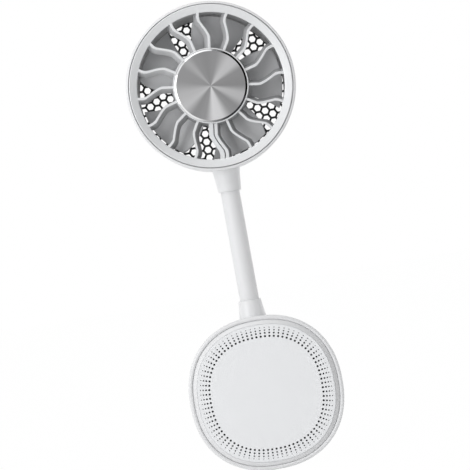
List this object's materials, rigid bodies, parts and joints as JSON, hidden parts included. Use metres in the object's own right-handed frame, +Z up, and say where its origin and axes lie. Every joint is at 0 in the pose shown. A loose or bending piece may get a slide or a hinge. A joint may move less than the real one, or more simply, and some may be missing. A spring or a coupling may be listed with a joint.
{
  "type": "clip-on fan",
  "caption": "Rechargeable fan with a round head, S-shaped guard vanes, a bendable neck and a flat squarish battery base with a spring clip behind it.",
  "frame": {"origin": "the grip of the clip: the middle of the seam between its two closed jaw pads", "axes": "+Z up along the neck, -Y out of the fan's front, +Y behind the clip, +X to the right seen from the front"},
  "size_m": [0.09, 0.0432, 0.2512],
  "materials": {
    "white_shell": "satin moulded",
    "ring_white": "satin moulded",
    "blade_grey": "satin moulded",
    "charcoal": "fine satin",
    "spun_aluminium": "spun, with a polished bevel",
    "steel": "bright",
    "copper_winding": "enamelled wire",
    "ferrite": "matt",
    "sintered_bronze": "matt",
    "board_green": "satin lacquer",
    "white_silicone": "matt silicone",
    "grey_rubber": "matt",
    "battery_foil": "film over foil",
    "foam_tape": "foam",
    "screen_mesh": "fine woven mesh",
    "light_pipe": "clear moulded",
    "lead_insulation": "insulated wire"
  },
  "bodies": {
    "base": {"base_shell": "white_shell", "base_front_cover": "white_shell", "vent_screen": "screen_mesh", "base_screw_1": "steel", "base_screw_2": "steel", "base_screw_3": "steel", "base_screw_4": "steel", "battery_pad": "foam_tape", "battery": "battery_foil", "battery_leads": "lead_insulation", "main_board": "board_green", "usb_c_port": "steel", "switch_board": "board_green", "tact_switch": "ferrite", "status_light": "light_pipe", "base_pad": "grey_rubber", "clip_pin": "steel", "clip_spring": "steel", "neck_sleeve_0": "white_silicone", "neck_core_0": "steel"},
    "neck_link_1": {"neck_sleeve_1": "white_silicone", "neck_core_1": "steel"},
    "neck_link_2": {"neck_sleeve_2": "white_silicone", "neck_core_2": "steel"},
    "neck_link_3": {"neck_sleeve_3": "white_silicone", "neck_core_3": "steel"},
    "neck_link_4": {"neck_sleeve_4": "white_silicone", "neck_core_4": "steel"},
    "neck_link_5": {"neck_sleeve_5": "white_silicone", "neck_core_5": "steel"},
    "head": {"neck_sleeve_6": "white_silicone", "neck_core_6": "steel", "head_shell": "white_shell", "front_guard": "ring_white", "hub_disc": "spun_aluminium", "rear_grille": "charcoal", "head_screw_1": "steel", "head_screw_2": "steel", "head_screw_3": "steel", "head_screw_4": "steel", "motor_bush": "sintered_bronze", "motor_board": "board_green", "motor_windings": "copper_winding", "motor_leads": "lead_insulation"},
    "rotor": {"rotor_can": "steel", "magnet_ring": "ferrite", "motor_shaft": "steel", "impeller": "blade_grey"},
    "button": {"power_button": "white_shell"},
    "clip_lever": {"clip_arm": "white_shell", "arm_pad": "grey_rubber"}
  },
  "joints": [
    {"name": "neck_nod_1", "type": "hinge", "parent": "base", "child": "neck_link_1", "pos_m": [0, -0.012, 0.07553], "axis": [1, 0, 0], "range_deg": [-30, 30]},
    {"name": "neck_sway_1", "type": "hinge", "parent": "neck_link_1", "child": "neck_link_2", "pos_m": [0, -0.012, 0.08459], "axis": [0, 1, 0], "range_deg": [-30, 30]},
    {"name": "neck_nod_2", "type": "hinge", "parent": "neck_link_2", "child": "neck_link_3", "pos_m": [0, -0.012, 0.09366], "axis": [1, 0, 0], "range_deg": [-30, 30]},
    {"name": "neck_sway_2", "type": "hinge", "parent": "neck_link_3", "child": "neck_link_4", "pos_m": [0, -0.012, 0.10272], "axis": [0, 1, 0], "range_deg": [-30, 30]},
    {"name": "neck_nod_3", "type": "hinge", "parent": "neck_link_4", "child": "neck_link_5", "pos_m": [0, -0.012, 0.11178], "axis": [1, 0, 0], "range_deg": [-30, 30]},
    {"name": "neck_sway_3", "type": "hinge", "parent": "neck_link_5", "child": "head", "pos_m": [0, -0.012, 0.12084], "axis": [0, 1, 0], "range_deg": [-30, 30]},
    {"name": "impeller_spin", "type": "hinge", "parent": "head", "child": "rotor", "pos_m": [0, -0.012, 0.1872], "axis": [0, 1, 0], "continuous": true},
    {"name": "power_press", "type": "slide", "parent": "base", "child": "button", "axis": [-1, 0, 0], "range_m": [0, 0.0006], "stiffness_N_per_m": 2500},
    {"name": "clip_open", "type": "hinge", "parent": "base", "child": "clip_lever", "pos_m": [0, 0.006, 0.03], "axis": [1, 0, 0], "range_deg": [0, 25], "stiffness_Nm_per_rad": 0.3, "springref_deg": -20.05, "deforming": ["clip_spring"]}
  ],
  "couplings": [
    {"joint": "neck_nod_2", "follows": "neck_nod_1", "ratio": 1},
    {"joint": "neck_sway_2", "follows": "neck_sway_1", "ratio": 1},
    {"joint": "neck_nod_3", "follows": "neck_nod_1", "ratio": 1},
    {"joint": "neck_sway_3", "follows": "neck_sway_1", "ratio": 1}
  ]
}
